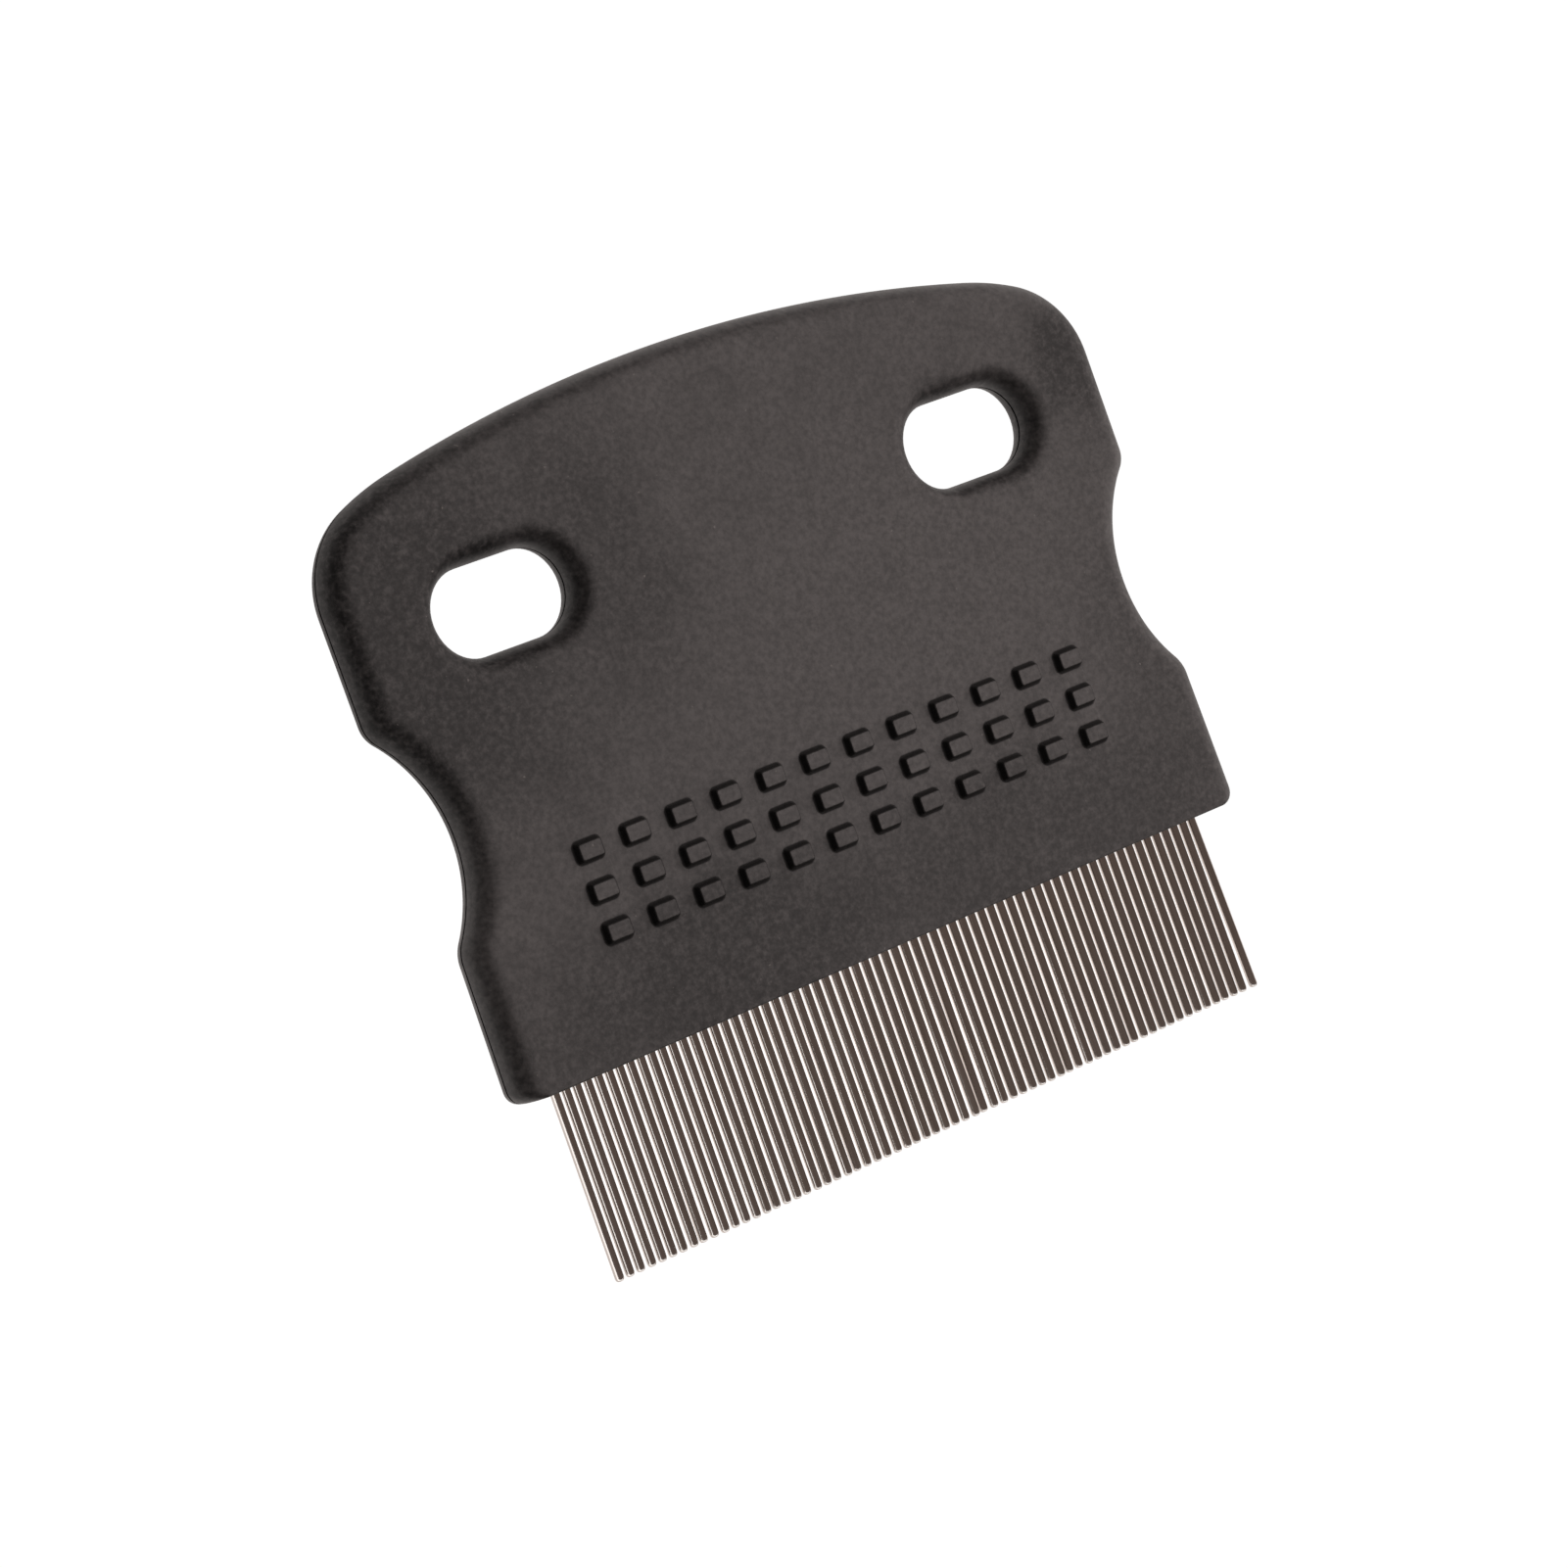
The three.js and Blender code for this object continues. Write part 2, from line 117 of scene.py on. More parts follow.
# a bump's side, from the face up: how far it stands out from the top's outline, and its height as a share
GRIP_SIDE = [(0.26, 0.0), (0.23, 0.02), (0.21, 0.07), (0.12, 0.78), (0.09, 0.89), (0.04, 0.965), (-0.02, 1.0)]
GRIP_CORNER = 0.13  # plan radius of the flat top's corners
GRIP_CORNER_GROWTH = 0.4  # and how much it grows by as the outline moves out

# ---- teeth ----
PAIRS = 33
WIRE_RADIUS = 0.34
OPEN_SIZE = 1.018  # the wire outside the handle, against the wire held in the bar
TOOTH_Z = (TOOTH_LOW.z + TOOTH_HIGH.z) / 2
PITCH = (LAST_LOW.x + LAST_HIGH.x - TOOTH_LOW.x - TOOTH_HIGH.x) / 2 / (2 * PAIRS - 2)
SLIT_HALF = LAST_HIGH.x + 0.05
SLIT_FLOOR = TOOTH_Z - WIRE_RADIUS - 0.05
SLIT_DEPTH = 1.4  # of the slit in the bottom edge, which the teeth stand in
ROW_SHIFT = -0.04  # the row sits this far off the centre line
CROWDING = 0.0015  # how much smaller the teeth's pitch is than the grooves' in the bar
FAN = 0.17  # how far the outer teeth spread at their tips
LAST_TOOTH = (-0.02, 0.2)  # the last tooth leans: its shift at the handle and at the tip
SCATTER = (0.018, 0.05)  # spread of the tips' places, in x and in z
TOOTH_SEGMENTS = 20
BEND_STEPS = 12
LEAN_RINGS = (-26, -22, -18)  # y of a leg's rings between its tip and the handle
# a tip's rounding: distance from its end, and radius as a share of the wire's
TIP_ROUND = [(0.0, 0.42), (0.03, 0.66), (0.09, 0.85), (0.17, 0.96), (0.28, OPEN_SIZE)]

# ---- patches on the moulded faces: centre x, y, reach in x, y, and strength ----
# where the plastic is darker and rougher; the last two, round the slots, are painted shade on the slots'
# walls and rims
DARK_ZONES_AND_SLOT_SHADE = [
    (-30, 17, 16, 18, 0.70),
    (-14, 18, 9, 12, 0.45),
    (31, 20, 4.5, 6, 0.75),
    (-14, -13, 20, 8, 0.60),
    (16, -13, 26, 7.5, 0.45),
    (30, -3, 5, 12, 0.35),
    # painted shade: these two darken the slots' walls and rims
    (-21, 16.9, 7.2, 5.2, 0.95),
    (21, 16.9, 7.2, 5.2, 0.95),
]
# where handling has worn it paler
# a paler patch on the face
PALER_ZONES = [(14, 6, 23, 18, 0.42)]
ZONE_CORE = 0.35  # a patch is at full strength up to this share of its reach
ZONE_END = 1.25  # and ends at this one
ZONE_WANDER = 8  # how far the patches' edges stray

# ---- colours ----
PLASTIC_DARK = (0.048, 0.0461, 0.0458)
PLASTIC_PALE = (0.072, 0.0692, 0.0687)
PLASTIC_PALER = (0.085, 0.0818, 0.0812)
# colour of the darker patches and of the painted shade round the slots
PLASTIC_DARK_AND_SHADE = (0.0030, 0.0028, 0.0028)
DUST = (0.20, 0.19, 0.18)
# painted shade in the parting groove and on the grip bumps' sides and feet
CREVICE_SHADE = (0.002, 0.002, 0.002)
STEEL_DARK = (0.55, 0.515, 0.485)
STEEL_PALE = (0.66, 0.625, 0.60)


def arc(centre, radius, start, end, steps):
    """Points along an arc, both ends included."""
    angles = np.linspace(start, end, steps + 1)
    return [(centre[0] + radius * math.cos(a), centre[1] + radius * math.sin(a)) for a in angles]


def solve_outline():
    """Centres and turning angles of the arcs along the right half of the outline."""
    skirt_x = SKIRT_HALF_TOP - SKIRT_RADIUS
    skirt_y = NOTCH_Y - math.sqrt((NOTCH_RADIUS + SKIRT_RADIUS) ** 2 - (NOTCH_X - skirt_x) ** 2)
    skirt_turn = math.atan2(NOTCH_Y - skirt_y, NOTCH_X - skirt_x)
    ear_x = EAR_HALF - EAR_RADIUS
    ear_y = NOTCH_Y + math.sqrt((NOTCH_RADIUS + EAR_RADIUS) ** 2 - (NOTCH_X - ear_x) ** 2)
    ear_turn = math.atan2(ear_y - NOTCH_Y, NOTCH_X - ear_x)
    turn, step = 0.0, 1.0
    while step > 1e-10:
        gap = (EAR_HALF - CORNER_RADIUS
               - (SHOULDER_RADIUS - CORNER_RADIUS) * math.cos(turn + step)
               - (TOP_RADIUS - SHOULDER_RADIUS) * math.cos(turn + step + SHOULDER_TURN))
        if gap < 0:
            turn += step
        step /= 2
    end = turn + SHOULDER_TURN
    top = (0.0, TOP_Y - TOP_RADIUS)
    shoulder = (top[0] + (TOP_RADIUS - SHOULDER_RADIUS) * math.cos(end),
                top[1] + (TOP_RADIUS - SHOULDER_RADIUS) * math.sin(end))
    corner = (shoulder[0] + (SHOULDER_RADIUS - CORNER_RADIUS) * math.cos(turn),
              shoulder[1] + (SHOULDER_RADIUS - CORNER_RADIUS) * math.sin(turn))
    return [
        ((skirt_x, skirt_y), SKIRT_RADIUS, 1, 0, skirt_turn, 10),
        ((NOTCH_X, NOTCH_Y), NOTCH_RADIUS, -1, math.pi + skirt_turn, math.pi - ear_turn, 36),
        ((ear_x, ear_y), EAR_RADIUS, 1, -ear_turn, 0, 10),
        (corner, CORNER_RADIUS, 1, 0, turn, 24),
        (shoulder, SHOULDER_RADIUS, 1, turn, end, 8),
        (top, TOP_RADIUS, 1, end, math.pi / 2, 24),
    ]


ARCS = solve_outline()


def outline(inset, foot, slit=0.0):
    """The closed outline moved in by inset at the sides and by foot at the bottom edge, counter-clockwise."""
    share = min(max(inset / RIM, 0), 1)
    corner = FOOT_CORNER + (FOOT_CORNER_FACE - FOOT_CORNER) * share
    y = BOTTOM_Y + foot
    centre = (SKIRT_HALF_BOTTOM - inset - corner, y + corner)
    right = [(0.0, y + slit), (SLIT_HALF, y + slit), (SLIT_HALF, y)]
    right += arc(centre, corner, -math.pi / 2, 0, 8)
    for middle, radius, bulge, start, end, steps in ARCS:
        right += arc(middle, radius - bulge * inset, start, end, steps)
    left = [(-x, y) for x, y in reversed(right[1:-1])]
    return right + left


def slot_loop(x, outset):
    """A slot's rim, counter-clockwise."""
    half = (SLOT_LENGTH - SLOT_WIDTH) / 2
    radius = SLOT_WIDTH / 2 + outset
    quarter = math.pi / 2
    return (arc((x + half, SLOT_Y), radius, -quarter, quarter, 24)
            + arc((x - half, SLOT_Y), radius, quarter, 3 * quarter, 24))


def bump_loop(x, y, out):
    """A grip bump's outline, moved out from its flat top."""
    w, h = GRIP_TOP[0] + out, GRIP_TOP[1] + out
    r = GRIP_CORNER + GRIP_CORNER_GROWTH * out
    quarter = math.pi / 2
    points = []
    for i, (sx, sy) in enumerate(((1, 1), (-1, 1), (-1, -1), (1, -1))):
        points += arc((x + sx * (w - r), y + sy * (h - r)), r, i * quarter, (i + 1) * quarter, 6)
    return points


def inside(point, loop):
    """Whether a point lies inside a closed loop."""
    x, y = point
    hit = False
    for (x0, y0), (x1, y1) in zip(loop, loop[1:] + loop[:1]):
        if (y0 > y) != (y1 > y) and x < x0 + (y - y0) / (y1 - y0) * (x1 - x0):
            hit = not hit
    return hit


class Skin:
    """A closed surface, made of points in millimetres that are merged where they coincide."""

    def __init__(self):
        self.points = []
        self.index = {}
        self.faces = []

    def vertex(self, point):
        key = tuple(round(float(c), 5) for c in point)
        if key not in self.index:
            self.index[key] = len(self.points)
            self.points.append([float(c) * MM for c in point])
        return self.index[key]

    def face(self, corners):
        ids = [self.vertex(c) for c in corners]
        ids = [a for a, b in zip(ids, ids[1:] + ids[:1]) if a != b]
        if len(set(ids)) > 2 and len(set(ids)) == len(ids):
            self.faces.append(ids)

    def band(self, low, high):
        """Quads between two loops of equal length. Low to high goes out of the surface's left side."""
        n = len(low)
        for i in range(n):
            j = (i + 1) % n
            self.face([low[i], low[j], high[j], high[i]])

    def flat(self, loops, z, up):
        """A flat face at height z: the first loop, less the others."""
        clean = []
        for loop in loops:
            kept = []
            for p in loop:
                if not kept or math.dist(p, kept[-1]) > 1e-5:
                    kept.append(p)
            if math.dist(kept[0], kept[-1]) < 1e-5:
                kept.pop()
            clean.append(kept)
        points = [p for loop in clean for p in loop]
        edges, start = [], 0
        for loop in clean:
            edges += [(start + i, start + (i + 1) % len(loop)) for i in range(len(loop))]
            start += len(loop)
        made = delaunay_2d_cdt([Vector(p) for p in points], edges, [], 1, 1e-7)
        verts, faces = made[0], made[2]
        for f in faces:
            middle = sum((verts[i] for i in f), Vector((0, 0))) / len(f)
            if inside(middle, clean[0]) and not any(inside(middle, hole) for hole in clean[1:]):
                ids = list(f) if up else list(reversed(f))
                self.face([(verts[i].x, verts[i].y, z) for i in ids])

    def mesh(self, name, sharp=35):
        mesh = bpy.data.meshes.new(name)
        mesh.from_pydata(self.points, [], self.faces)
        mesh.validate()
        mesh.shade_smooth()
        mesh.set_sharp_from_angle(angle=math.radians(sharp))
        piece = bpy.data.objects.new(name, mesh)
        bpy.context.scene.collection.objects.link(piece)
        return piece


def at(loop, z):
    return [(x, y, z) for x, y in loop]


def foot_inset(z):
    """How far the bottom edge is set back at height z, where its edge is rounded onto the face."""
    depth = FOOT_EDGE - (THICKNESS - z)
    return FOOT_EDGE - math.sqrt(max(FOOT_EDGE ** 2 - depth ** 2, 0)) if depth > 0 else 0.0


def rim_rings(angles):
    """Rings of the full round rim: inset, foot inset and height over the parting plane."""
    rings = []
    for angle in angles:
        z = PARTING_Z + RIM * math.sin(angle)
        rings.append((RIM * (1 - math.cos(angle)), foot_inset(z), z))
    return rings


def slot_rings(angles):
    return [(SLOT_ROUND * (1 - math.cos(a)), PARTING_Z + RIM * math.sin(a)) for a in angles]


def weighted(piece):
    """Flat faces keep their own normals where they meet a rounded rim."""
    modifier = piece.modifiers.new("flat faces", "WEIGHTED_NORMAL")
    modifier.keep_sharp = True
    modifier.weight = 60


def front_shell():
    """The front half: flat at the parting plane, with the seam's groove, the round rims and the bumps."""
    skin = Skin()
    seam = [
        (SEAM_DEPTH, PARTING_Z),
        (SEAM_DEPTH, PARTING_Z + SEAM_HEIGHT - SEAM_CORNER),
        (SEAM_DEPTH - SEAM_EDGE, PARTING_Z + SEAM_HEIGHT),
        (SEAM_EDGE, PARTING_Z + SEAM_HEIGHT),
    ]
    low = math.asin((SEAM_HEIGHT + SEAM_EDGE) / RIM)
    angles = [low + (math.pi / 2 - low) * i / RIM_STEPS for i in range(RIM_STEPS + 1)]
    rings = [(depth, 0, z) for depth, z in seam] + rim_rings(angles)
    loops = [at(outline(inset, foot), z) for inset, foot, z in rings]
    for a, b in zip(loops, loops[1:]):
        skin.band(a, b)
    for x in SLOTS_X:
        holes = [at(slot_loop(x, outset), z) for outset, z in seam + slot_rings(angles)]
        for a, b in zip(holes, holes[1:]):
            skin.band(b, a)
    bumps = []
    for column in range(GRIP_COLUMNS):
        for row in range(GRIP_ROWS):
            x = (column - (GRIP_COLUMNS - 1) / 2) * GRIP_PITCH[0]
            y = GRIP_Y + (row - (GRIP_ROWS - 1) / 2) * GRIP_PITCH[1]
            sides = [at(bump_loop(x, y, out), THICKNESS + GRIP_HEIGHT * h) for out, h in GRIP_SIDE]
            for a, b in zip(sides, sides[1:]):
                skin.band(a, b)
            skin.face(sides[-1])
            bumps.append([p[:2] for p in sides[0]])
    slots = [slot_loop(x, SLOT_ROUND) for x in SLOTS_X]
    inset, foot, _ = rings[-1]
    skin.flat([outline(inset, foot)] + slots + bumps, THICKNESS, True)
    slots = [slot_loop(x, SEAM_DEPTH) for x in SLOTS_X]
    skin.flat([outline(SEAM_DEPTH, 0)] + slots, PARTING_Z, False)
    return skin.mesh("front_half")


def flipped(z):
    """The height that mirrors z in the parting plane."""
    return THICKNESS - z


def back_shell():
    """The back half: flat at both faces, with round rims, and a slit in its bottom edge for the teeth."""
    skin = Skin()
    ledge = math.asin((PARTING_Z - SLIT_FLOOR) / RIM)
    lower = [ledge + (math.pi / 2 - ledge) * i / RIM_STEPS for i in range(RIM_STEPS + 1)]
    upper = [ledge * i / 4 for i in range(5)]
    rings = [(r, SLIT_DEPTH) for r in rim_rings(upper)] + [(r, 0) for r in rim_rings(lower)]
    loops = [at(outline(inset, foot, slit), flipped(z)) for (inset, foot, z), slit in rings]
    for a, b in zip(loops, loops[1:]):
        skin.band(b, a)
    for x in SLOTS_X:
        holes = [at(slot_loop(x, outset), flipped(z)) for outset, z in slot_rings(upper + lower[1:])]
        for a, b in zip(holes, holes[1:]):
            skin.band(a, b)
    (inset, foot, _), _ = rings[-1]
    slots = [slot_loop(x, SLOT_ROUND) for x in SLOTS_X]
    skin.flat([outline(inset, foot)] + slots, 0.0, False)
    slots = [slot_loop(x, 0) for x in SLOTS_X]
    skin.flat([outline(0, 0, SLIT_DEPTH)] + slots, PARTING_Z, True)
    return skin.mesh("back_half")


def tooth_pair(index, legs):
    """A hairpin of wire. Each leg is (x at the handle, x and z offset of its tip)."""
    skin = Skin()
    bend_y = TOOTH_HIGH.y - PITCH / 2 - WIRE_RADIUS
    path = []  # the middle of each ring, the wire's way in the plan, and the ring's size

    def on_leg(leg, y):
        x, dx, dz = leg
        share = max((BOTTOM_Y - y) / (BOTTOM_Y - TIP_Y), 0)
        return x + dx * share, y, TOOTH_Z + dz * share

    left, right = legs
    for up, size in TIP_ROUND:
        path.append((on_leg(left, TIP_Y + up), (0, 1), size))
    for y in (*LEAN_RINGS, BOTTOM_Y):
        path.append((on_leg(left, y), (0, 1), OPEN_SIZE))
    path.append((on_leg(left, BOTTOM_Y + SLIT_DEPTH), (0, 1), 1))
    middle = (left[0] + right[0]) / 2
    radius = (right[0] - left[0]) / 2
    for i in range(BEND_STEPS + 1):
        a = math.pi * (1 - i / BEND_STEPS)
        place = (middle + radius * math.cos(a), bend_y + radius * math.sin(a), TOOTH_Z)
        path.append((place, (math.sin(a), -math.cos(a)), 1))
    path.append((on_leg(right, BOTTOM_Y + SLIT_DEPTH), (0, -1), 1))
    for y in (BOTTOM_Y, *reversed(LEAN_RINGS)):
        path.append((on_leg(right, y), (0, -1), OPEN_SIZE))
    for up, size in reversed(TIP_ROUND):
        path.append((on_leg(right, TIP_Y + up), (0, -1), size))

    loops = []
    for (x, y, z), (tx, ty), size in path:
        r = WIRE_RADIUS * size
        ring = []
        for k in range(TOOTH_SEGMENTS):
            a = 2 * math.pi * k / TOOTH_SEGMENTS
            side = r * math.cos(a)
            ring.append((x + side * ty, y - side * tx, z + r * math.sin(a)))
        loops.append(ring)
    for a, b in zip(loops, loops[1:]):
        skin.band(b, a)
    skin.face(loops[0])
    skin.face(list(reversed(loops[-1])))
    return skin.mesh("teeth_%02d" % index, sharp=50)


# ---- materials ----
def new_material(name):
    material = bpy.data.materials.new(name)
    material.use_nodes = True
    nodes = material.node_tree.nodes
    return material, nodes, material.node_tree.links, nodes["Principled BSDF"]


def feed(links, value, socket):
    """Set a socket to a number, a vector or a colour, or link another node's output to it."""
    if isinstance(value, tuple) and socket.type == "RGBA":
        socket.default_value = (*value, 1)
    elif isinstance(value, (int, float, tuple)):
        socket.default_value = value
    else:
        links.new(value, socket)


def number_math(nodes, links, operation, *values):
    node = nodes.new("ShaderNodeMath")
    node.operation = operation
    for value, socket in zip(values, node.inputs):
        feed(links, value, socket)
    return node.outputs["Value"]


def vector_math(nodes, links, operation, *values):
    node = nodes.new("ShaderNodeVectorMath")
    node.operation = operation
    for value, socket in zip(values, node.inputs):
        feed(links, value, socket)
    return node.outputs["Value" if operation == "LENGTH" else "Vector"]


def noise(nodes, links, coordinates, scale, detail, roughness, output="Fac"):
    node = nodes.new("ShaderNodeTexNoise")
    node.inputs["Scale"].default_value = scale
    node.inputs["Detail"].default_value = detail
    node.inputs["Roughness"].default_value = roughness
    links.new(coordinates, node.inputs["Vector"])
    return node.outputs[output]


def ramp(nodes, links, value, low, high):
    """A colour ramp between two stops, each a position and a colour."""
    node = nodes.new("ShaderNodeValToRGB")
    for element, (position, colour) in zip(node.color_ramp.elements, (low, high)):
        element.position = position
        element.color = (*colour, 1)
    links.new(value, node.inputs["Fac"])
    return node.outputs["Color"]


def fade(nodes, links, value, near, far, strength):
    """The strength up to the near value, falling smoothly to 0 at the far one."""
    node = nodes.new("ShaderNodeMapRange")
    node.interpolation_type = "SMOOTHSTEP"
    node.inputs["From Min"].default_value = near
    node.inputs["From Max"].default_value = far
    node.inputs["To Min"].default_value = strength
    node.inputs["To Max"].default_value = 0
    links.new(value, node.inputs["Value"])
    return node.outputs["Result"]


def mix_colour(nodes, links, factor, a, b, mode="MIX"):
    node = nodes.new("ShaderNodeMix")
    node.data_type = "RGBA"
    node.blend_type = mode
    for value, socket in ((factor, node.inputs[0]), (a, node.inputs[6]), (b, node.inputs[7])):
        feed(links, value, socket)
    return node.outputs[2]


def bump(nodes, links, height, strength, distance):
    node = nodes.new("ShaderNodeBump")
    node.inputs["Strength"].default_value = strength
    node.inputs["Distance"].default_value = distance
    links.new(height, node.inputs["Height"])
    return node.outputs["Normal"]


def grey(value):
    return (value, value, value)


def zones(nodes, links, place, patches):
    """Soft patches with ragged edges on the moulded faces, as a share from 0 to 1."""
    wander = noise(nodes, links, place, 140, 4, 0.5, "Color")
    stray = (ZONE_WANDER * MM, ZONE_WANDER * MM, 0)
    strayed = vector_math(nodes, links, "MULTIPLY_ADD", wander, stray, place)
    total = 0
    for x, y, width, height, strength in patches:
        scale = (1 / (width * MM), 1 / (height * MM), 0)
        origin = (-(x + ZONE_WANDER / 2) / width, -(y + ZONE_WANDER / 2) / height, 0)
        near = vector_math(nodes, links, "MULTIPLY_ADD", strayed, scale, origin)
        reach = vector_math(nodes, links, "LENGTH", near)
        share = fade(nodes, links, reach, ZONE_CORE, ZONE_END, strength)
        total = number_math(nodes, links, "MAXIMUM", total, share)
    return total


def bump_foot_shade(nodes, links, place):
    """Painted shade on the grip bumps' sides and in a thin line round their feet, as a share from 0 to 1."""
    # fold the whole field onto one quarter of one bump, in millimetres from the bump's middle
    width, height = GRIP_PITCH
    scale = (1 / (width * MM), 1 / (height * MM), 0)
    cell = vector_math(nodes, links, "MULTIPLY_ADD", place, scale, (0, 0.5 - GRIP_Y / height, 0))
    share = vector_math(nodes, links, "FRACTION", cell)
    middle = (-width / 2, -height / 2, 0)
    local = vector_math(nodes, links, "MULTIPLY_ADD", share, (width, height, 0), middle)
    quarter = vector_math(nodes, links, "ABSOLUTE", local)
    # the distance out from the top's outline, and the band of it that is painted dark as shade
    inner = (GRIP_TOP[0] - GRIP_CORNER, GRIP_TOP[1] - GRIP_CORNER, 0)
    past = vector_math(nodes, links, "SUBTRACT", quarter, inner)
    corner = vector_math(nodes, links, "MAXIMUM", past, (0, 0, 0))
    out = vector_math(nodes, links, "LENGTH", corner)
    away = number_math(nodes, links, "SUBTRACT", out, GRIP_CORNER + GRIP_SIDE[0][0] - 0.05)
    line = fade(nodes, links, number_math(nodes, links, "ABSOLUTE", away), 0.11, 0.25, 0.9)
    # only in a box round the field, from just under the face up
    centre = (0, GRIP_Y, 1.475 * THICKNESS)
    half = (GRIP_COLUMNS * width / 2, GRIP_ROWS * height / 2, THICKNESS / 2)
    scale = tuple(1 / (h * MM) for h in half)
    origin = tuple(-c / h for c, h in zip(centre, half))
    box = vector_math(nodes, links, "MULTIPLY_ADD", place, scale, origin)
    sides = nodes.new("ShaderNodeSeparateXYZ")
    links.new(vector_math(nodes, links, "ABSOLUTE", box), sides.inputs[0])
    for side in sides.outputs:
        within = number_math(nodes, links, "LESS_THAN", side, 1.0)
        line = number_math(nodes, links, "MULTIPLY", line, within)
    return line


def handle_plastic():
    """Black moulded plastic with a fine matte grain, soft mottling, darker and paler patches and a few specks
    of dust, with painted shade in the parting groove, on the grip bumps' sides and feet and round the slots.
    """
    material, nodes, links, shader = new_material("handle_plastic")
    place = nodes.new("ShaderNodeTexCoord").outputs["Object"]
    height = nodes.new("ShaderNodeSeparateXYZ")
    links.new(place, height.inputs[0])
    # painted shade in the parting groove
    seam_middle = (PARTING_Z + SEAM_HEIGHT / 2) * MM
    groove_shade = number_math(nodes, links, "COMPARE", height.outputs["Z"], seam_middle, SEAM_HEIGHT / 2 * MM)
    # painted shade on the bumps' sides and round their feet
    foot_shade = bump_foot_shade(nodes, links, place)
    # darker patches, with painted shade round the slots
    dark_and_shade = zones(nodes, links, place, DARK_ZONES_AND_SLOT_SHADE)
    paler = zones(nodes, links, place, PALER_ZONES)

    mottle = noise(nodes, links, place, 300, 6, 0.65)
    base = ramp(nodes, links, mottle, (0.3, PLASTIC_DARK), (0.7, PLASTIC_PALE))
    base = mix_colour(nodes, links, paler, base, PLASTIC_PALER)
    grain = noise(nodes, links, place, 2300, 3, 0.62)
    # the darker patches and the painted shade round the slots are speckled: strongest where the grain is low
    contrast = number_math(nodes, links, "MULTIPLY_ADD", grain, -3.0, 2.5)
    speckled = number_math(nodes, links, "MULTIPLY", dark_and_shade, contrast)
    base = mix_colour(nodes, links, speckled, base, PLASTIC_DARK_AND_SHADE)
    grains = ramp(nodes, links, grain, (0.34, grey(0.62)), (0.66, grey(1.38)))
    base = mix_colour(nodes, links, 1.0, base, grains, "MULTIPLY")
    speck = noise(nodes, links, place, 2600, 1, 0.4)
    dust = ramp(nodes, links, speck, (0.775, grey(0)), (0.83, grey(0.7)))
    base = mix_colour(nodes, links, dust, base, DUST)

    patch = noise(nodes, links, place, 420, 4, 0.6)
    rough = ramp(nodes, links, patch, (0.3, grey(0.40)), (0.7, grey(0.48)))
    rough = mix_colour(nodes, links, dark_and_shade, rough, grey(0.56))
    # painted shade: the groove and the bumps' sides and feet go near black and rough
    for shade_mask in (groove_shade, foot_shade):
        base = mix_colour(nodes, links, shade_mask, base, CREVICE_SHADE)
        rough = mix_colour(nodes, links, shade_mask, rough, grey(0.9))
    links.new(base, shader.inputs["Base Color"])
    links.new(rough, shader.inputs["Roughness"])
    links.new(bump(nodes, links, grain, 0.5, 0.00003), shader.inputs["Normal"])
    shader.inputs["IOR"].default_value = 1.5
    return material


def tooth_steel():
    """Drawn steel wire: bright, with faint lengthwise draw lines and a slight warm tint."""
    material, nodes, links, shader = new_material("tooth_steel")
    place = nodes.new("ShaderNodeTexCoord").outputs["Object"]
    stretched = nodes.new("ShaderNodeMapping")
    stretched.inputs["Scale"].default_value = (9000, 160, 9000)
    links.new(place, stretched.inputs["Vector"])
    lines = noise(nodes, links, stretched.outputs["Vector"], 1, 3, 0.6)
    tint = ramp(nodes, links, lines, (0.3, STEEL_DARK), (0.7, STEEL_PALE))
    links.new(tint, shader.inputs["Base Color"])
    rough = ramp(nodes, links, lines, (0.3, grey(0.16)), (0.7, grey(0.26)))
    links.new(rough, shader.inputs["Roughness"])
    links.new(bump(nodes, links, lines, 0.15, 0.00001), shader.inputs["Normal"])
    shader.inputs["Metallic"].default_value = 1.0
    return material


def bar_plastic():
    """The hidden bar: plain dark plastic with a slight grain."""
    material, nodes, links, shader = new_material("bar_plastic")
    place = nodes.new("ShaderNodeTexCoord").outputs["Object"]
    grain = noise(nodes, links, place, 3000, 3, 0.6)
    base = ramp(nodes, links, grain, (0.3, grey(0.010)), (0.7, grey(0.016)))
    links.new(base, shader.inputs["Base Color"])
    shader.inputs["Roughness"].default_value = 0.5
    return material


# ---- the comb ----
plastic = handle_plastic()
steel = tooth_steel()
for piece, node in ((front_shell(), "front_shell"), (back_shell(), "back_shell")):
    weighted(piece)
    piece.data.materials.append(plastic)
    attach(piece, "root")
    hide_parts(node)

bar = frame["nodes"]["tooth_bar"]
bar.data.materials.clear()
bar.data.materials.append(bar_plastic())

scatter = random.Random(7)
middle_of_row = (2 * PAIRS - 1) / 2
teeth = []
for i in range(2 * PAIRS):
    x = (i - middle_of_row) * (PITCH - CROWDING) + ROW_SHIFT
    spread = FAN * (i - middle_of_row) / middle_of_row
    teeth.append([x, spread + scatter.gauss(0, SCATTER[0]), scatter.gauss(0, SCATTER[1])])
teeth[-1][0] += LAST_TOOTH[0]
teeth[-1][1] += LAST_TOOTH[1]
for k in range(PAIRS):
    piece = tooth_pair(k + 1, teeth[2 * k:2 * k + 2])
    piece.data.materials.append(steel)
    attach(piece, "root")
    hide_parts("tooth_pair_%02d" % (k + 1))


# ---- floor ----
FLOOR_HALF = 3.0  # metres
FLOOR_DROP = 0.00002  # under the comb's flat back, in metres
FLOOR_GLOW = (0.86, 0.80, 0.775)  # what the floor lends to the comb; in the picture itself it is white


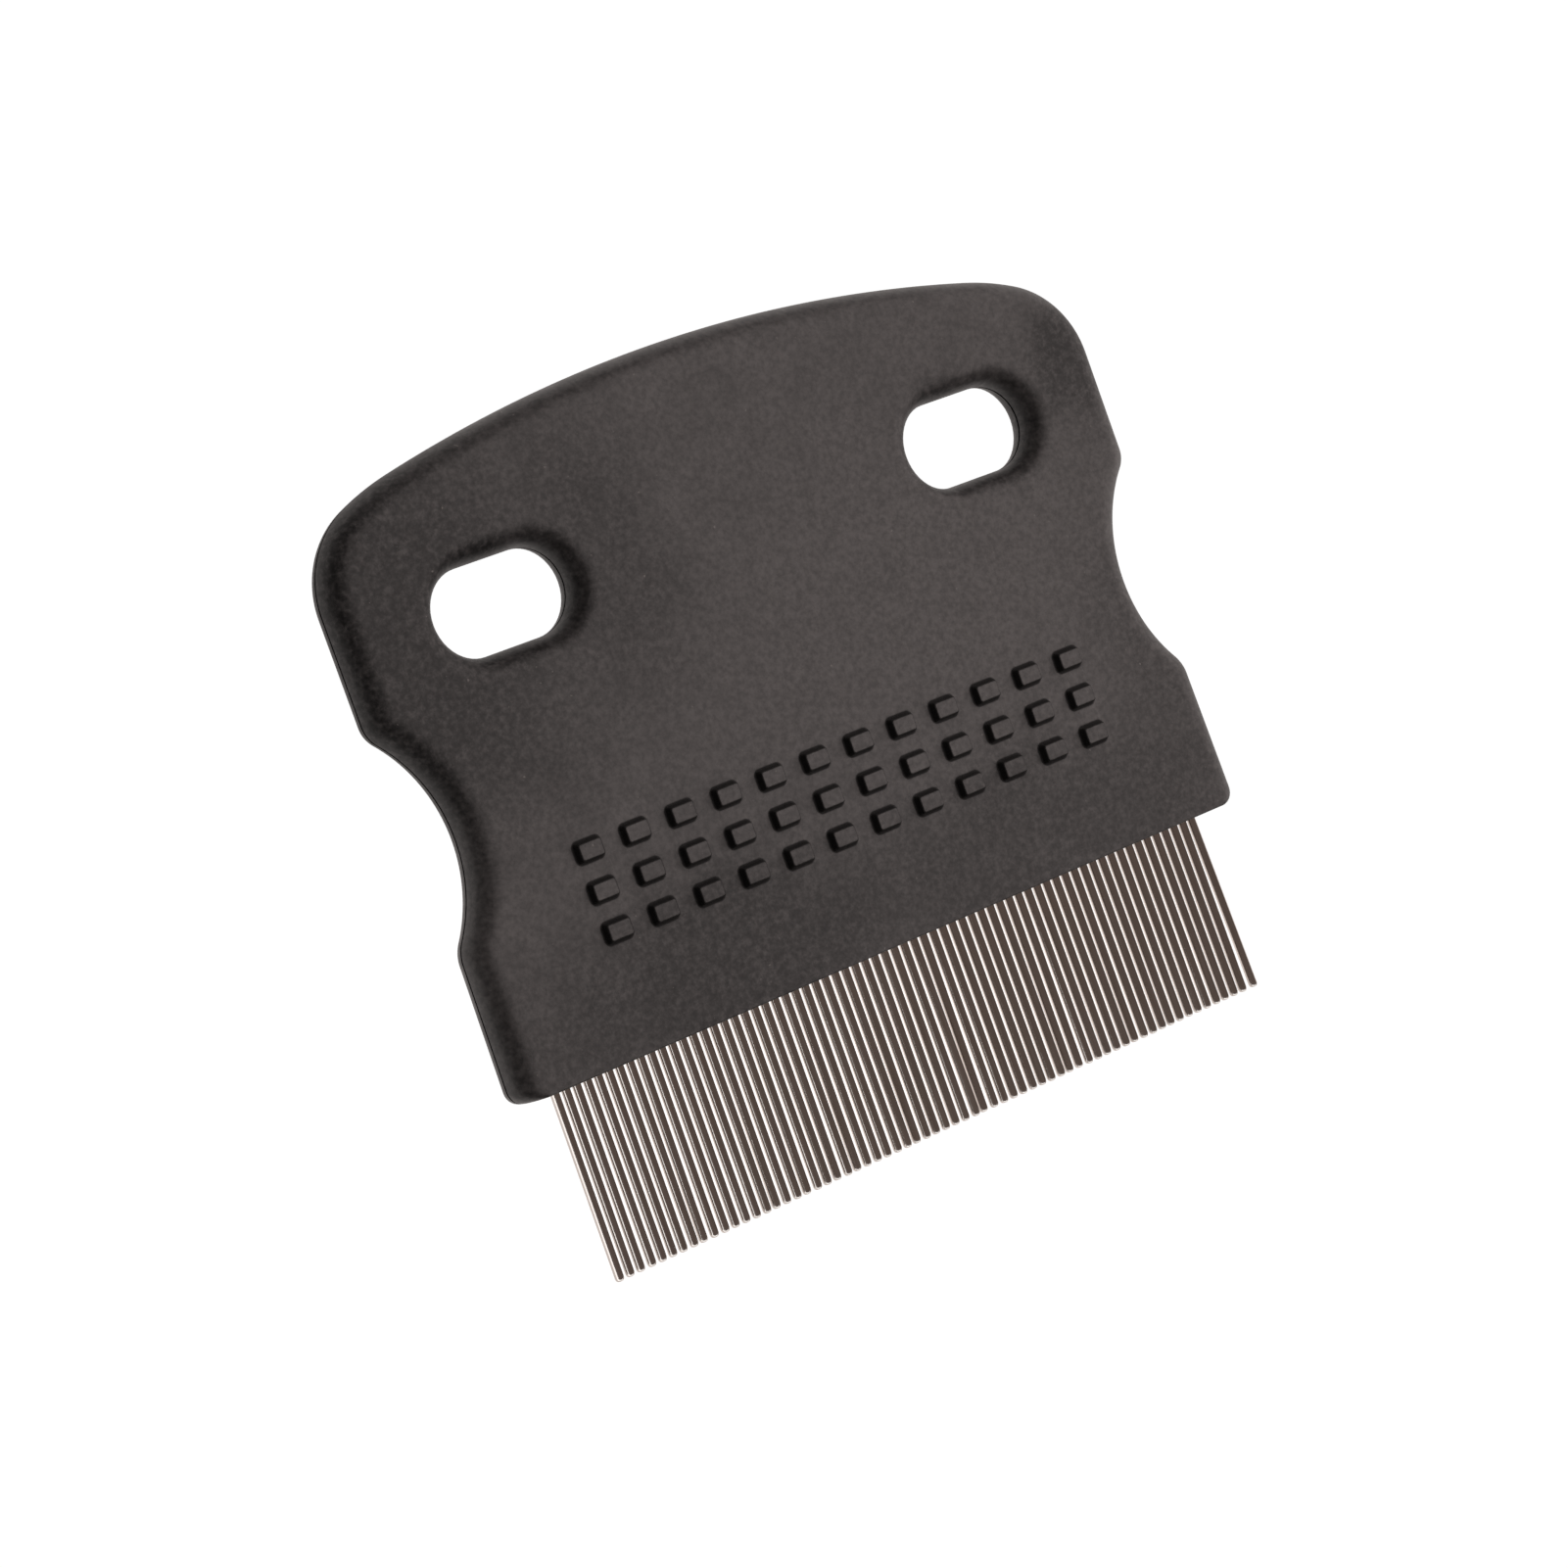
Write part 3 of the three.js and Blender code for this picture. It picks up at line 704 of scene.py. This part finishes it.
def floor():
    mesh = bpy.data.meshes.new("floor")
    corners = [(-1, -1), (1, -1), (1, 1), (-1, 1)]
    mesh.from_pydata([(x * FLOOR_HALF, y * FLOOR_HALF, 0) for x, y in corners], [], [(0, 1, 2, 3)])
    plane = bpy.data.objects.new("floor", mesh)
    plane.location.z = -FLOOR_DROP
    bpy.context.scene.collection.objects.link(plane)
    material, nodes, links, shader = new_material("floor_white")
    shader.inputs["Base Color"].default_value = (0.8, 0.8, 0.8, 1)
    shader.inputs["Roughness"].default_value = 1.0
    shader.inputs["Specular IOR Level"].default_value = 0.0
    shader.inputs["Emission Strength"].default_value = 1.0
    path = nodes.new("ShaderNodeLightPath")
    glow = mix_colour(nodes, links, path.outputs["Is Camera Ray"], FLOOR_GLOW, (1.0, 1.0, 1.0))
    links.new(glow, shader.inputs["Emission Color"])
    mesh.materials.append(material)


floor()

# ---- light ----
def soft_box(name, direction, target, distance, size, brightness, colour, receivers):
    """A rectangular light that shines only on the receivers, and faces target from a direction.

    The target is in millimetres. The distance and the size, across and up, are in metres. The brightness
    is what a mirror would show of it.
    """
    lamp = bpy.data.lights.new(name, "AREA")
    lamp.shape = "RECTANGLE"
    lamp.size, lamp.size_y = size
    lamp.energy = brightness * math.pi * size[0] * size[1]
    lamp.color = colour
    light = bpy.data.objects.new(name, lamp)
    way = Vector(direction).normalized()
    light.location = Vector(target) * MM + way * distance
    light.rotation_euler = way.to_track_quat("Z", "Y").to_euler()
    light.visible_camera = False
    bpy.context.scene.collection.objects.link(light)
    light.light_linking.receiver_collection = receivers
    return light


handle_only = bpy.data.collections.new("handle_only")
for name in ("front_half", "back_half"):
    handle_only.objects.link(bpy.data.objects[name])
teeth_only = bpy.data.collections.new("teeth_only")
for piece in bpy.data.objects:
    if piece.name.startswith("teeth_"):
        teeth_only.objects.link(piece)

# a large panel over the comb's right side lights the handle, and leaves its left rims dark;
# the teeth mirror a dim brown room, with a bright strip past their tips and one at their left
WARM = (1.0, 0.89, 0.865)
BROWN = (1.0, 0.73, 0.62)
WHITE = (1.0, 1.0, 1.0)
soft_box("panel", (0.743, 0.08, 0.669), (0, 0, 0), 0.5, (0.84, 1.9), 1.19, WARM, handle_only)
soft_box("room_left", (-0.7, 0, 0.7), (0, 0, 0), 1.0, (2, 2), 0.105, BROWN, teeth_only)
soft_box("room_right", (0.7, 0, 0.7), (0, 0, 0), 1.0, (2, 2), 0.105, BROWN, teeth_only)
soft_box("low_front", (0, -1, 0.4), (0, 0, 0), 0.8, (1.6, 0.56), 1.5, WHITE, teeth_only)
soft_box("low_left", (-1, 0, 0.28), (-30, -22, 2), 0.0225, (0.08, 0.0145), 1.7, WHITE, teeth_only)

# dim for the comb, white behind it
ROOM = (0.024, 0.021, 0.0195)
world = bpy.data.worlds.new("studio")
bpy.context.scene.world = world
world.use_nodes = True
nodes, links = world.node_tree.nodes, world.node_tree.links
room = nodes["Background"]
room.inputs["Color"].default_value = (*ROOM, 1)
behind = nodes.new("ShaderNodeBackground")
behind.inputs["Color"].default_value = (1, 1, 1, 1)
path = nodes.new("ShaderNodeLightPath")
mix = nodes.new("ShaderNodeMixShader")
links.new(path.outputs["Is Camera Ray"], mix.inputs["Fac"])
links.new(room.outputs["Background"], mix.inputs[1])
links.new(behind.outputs["Background"], mix.inputs[2])
links.new(mix.outputs["Shader"], nodes["World Output"].inputs["Surface"])

# ---- camera ----
CAMERA_PLACE = Vector((-157.93, 15.93, 261.29)) * MM
CAMERA_AXIS = Vector((0.51001, -0.06117, -0.85799)).normalized()
CAMERA_RIGHT = Vector((0.79849, -0.33723, 0.49868))
SENSOR = 36
LENS_PER_FRAME = 2.640974  # focal length over the frame's width

right = (CAMERA_RIGHT - CAMERA_AXIS * CAMERA_RIGHT.dot(CAMERA_AXIS)).normalized()
up = right.cross(CAMERA_AXIS)
data = bpy.data.cameras.new("camera")
data.sensor_fit = "HORIZONTAL"
data.sensor_width = SENSOR
data.lens = SENSOR * LENS_PER_FRAME
data.clip_start = 0.01
data.clip_end = 20
camera = bpy.data.objects.new("camera", data)
turn = Matrix((right, up, -CAMERA_AXIS)).transposed()
camera.matrix_world = Matrix.Translation(CAMERA_PLACE) @ turn.to_4x4()
bpy.context.scene.collection.objects.link(camera)
bpy.context.scene.camera = camera
bpy.context.scene.view_settings.view_transform = "Standard"
